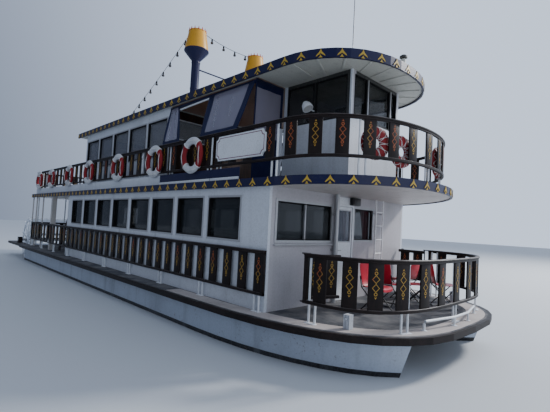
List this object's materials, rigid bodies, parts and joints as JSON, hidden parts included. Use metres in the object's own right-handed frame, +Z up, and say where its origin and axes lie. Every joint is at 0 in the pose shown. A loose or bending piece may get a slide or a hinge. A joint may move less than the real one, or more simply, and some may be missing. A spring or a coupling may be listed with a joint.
{
  "type": "paddle steamer",
  "caption": "Twin-hulled stern-wheel paddle steamer with a glazed saloon, an upper deck, a wheelhouse and crowned funnels.",
  "frame": {"origin": "half way along the boat, on its centreline, at the flat hull bottoms", "axes": "+X towards the bow, +Y to port, +Z up"},
  "size_m": [20.68, 5.6, 7.93],
  "materials": {
    "hull_paint": "pale blue-white hull paint, black below the waterline",
    "deck_coat": "grey non-slip deck paint",
    "strake_wood": "dark brown timber strake",
    "white_paint": "white gloss paint",
    "window_glass": "dark tinted window glass",
    "brown_board": "dark brown painted boards with gold diamonds",
    "navy_paint": "navy paint with gold arrow heads",
    "stack_paint": "navy funnel paint with a yellow crown",
    "buoy_skin": "red and white lifebuoy skin",
    "canvas": "navy canvas with clear panels",
    "wheel_paint": "white paddle wheel paint",
    "grey_metal": "grey metal",
    "black_paint": "black paint",
    "chair_red": "red chair shells on dark legs"
  },
  "bodies": {
    "boat": {"hull_starboard": "hull_paint", "hull_port": "hull_paint", "engine": "grey_metal", "main_deck": "deck_coat", "strake": "strake_wood", "stern_beam_starboard": "strake_wood", "stern_beam_port": "strake_wood", "saloon_wall_starboard": "white_paint", "saloon_wall_port": "white_paint", "saloon_wall_front": "white_paint", "saloon_wall_aft": "white_paint", "saloon_glass_starboard": "window_glass", "saloon_glass_port": "window_glass", "saloon_glass_front": "window_glass", "side_fence_starboard": "brown_board", "side_fence_port": "brown_board", "aft_fence": "brown_board", "foredeck_rail": "brown_board", "middle_deck": "white_paint", "middle_fascia": "navy_paint", "stair": "brown_board", "upper_rail_front": "brown_board", "upper_rail_after": "brown_board", "upper_wall_starboard": "white_paint", "upper_wall_port": "white_paint", "upper_wall_aft": "white_paint", "upper_glass_starboard": "window_glass", "upper_glass_port": "window_glass", "canvas_starboard": "canvas", "canvas_port": "canvas", "wheelhouse_wall_starboard": "white_paint", "wheelhouse_wall_port": "white_paint", "wheelhouse_wall_front": "white_paint", "wheelhouse_wall_aft": "white_paint", "wheelhouse_glass": "window_glass", "roof": "white_paint", "roof_fascia": "navy_paint", "stacks": "stack_paint", "searchlight": "white_paint", "ladder": "white_paint", "front_pipe": "grey_metal", "lifebuoys_starboard": "buoy_skin", "lifebuoys_port": "buoy_skin", "bow_rail": "white_paint", "helm_console": "grey_metal", "saloon_seats": "brown_board", "chair_1": "chair_red", "chair_2": "chair_red", "chair_3": "chair_red", "chair_4": "chair_red", "chair_5": "chair_red"},
    "paddle_wheel": {"paddle_wheel": "wheel_paint"},
    "rudder_starboard": {"rudder_starboard": "black_paint"},
    "rudder_port": {"rudder_port": "black_paint"},
    "front_door": {"front_door": "white_paint"},
    "aft_door": {"aft_door": "white_paint"},
    "upper_door": {"upper_door": "white_paint"},
    "wheelhouse_door": {"wheelhouse_door": "white_paint"},
    "gate_starboard": {"gate_starboard": "brown_board"},
    "gate_port": {"gate_port": "brown_board"}
  },
  "joints": [
    {"name": "paddle_turn", "type": "hinge", "parent": "boat", "child": "paddle_wheel", "pos_m": [-9.1, 0, 1.215], "axis": [0, 1, 0], "continuous": true},
    {"name": "rudder_starboard_steer", "type": "hinge", "parent": "boat", "child": "rudder_starboard", "pos_m": [-7.44, -1.515, 0.5], "axis": [0, 0, 1], "range_deg": [-35, 35]},
    {"name": "rudder_port_steer", "type": "hinge", "parent": "boat", "child": "rudder_port", "pos_m": [-7.44, 1.515, 0.5], "axis": [0, 0, 1], "range_deg": [-35, 35]},
    {"name": "front_door_swing", "type": "hinge", "parent": "boat", "child": "front_door", "pos_m": [7.8, 0.104, 1.136], "axis": [0, 0, 1], "range_deg": [0, 100]},
    {"name": "aft_door_swing", "type": "hinge", "parent": "boat", "child": "aft_door", "pos_m": [-2.75, 0.374, 1.136], "axis": [0, 0, -1], "range_deg": [0, 100]},
    {"name": "upper_door_swing", "type": "hinge", "parent": "boat", "child": "upper_door", "pos_m": [-3.1, 0.994, 3.366], "axis": [0, 0, -1], "range_deg": [0, 100]},
    {"name": "wheelhouse_door_swing", "type": "hinge", "parent": "boat", "child": "wheelhouse_door", "pos_m": [6.6, 0.314, 3.366], "axis": [0, 0, -1], "range_deg": [0, 100]},
    {"name": "gate_starboard_swing", "type": "hinge", "parent": "boat", "child": "gate_starboard", "pos_m": [8.49, -2.14, 1.4], "axis": [0, 0, 1], "range_deg": [-60, 110]},
    {"name": "gate_port_swing", "type": "hinge", "parent": "boat", "child": "gate_port", "pos_m": [8.49, 2.14, 1.4], "axis": [0, 0, 1], "range_deg": [0, 170]}
  ]
}
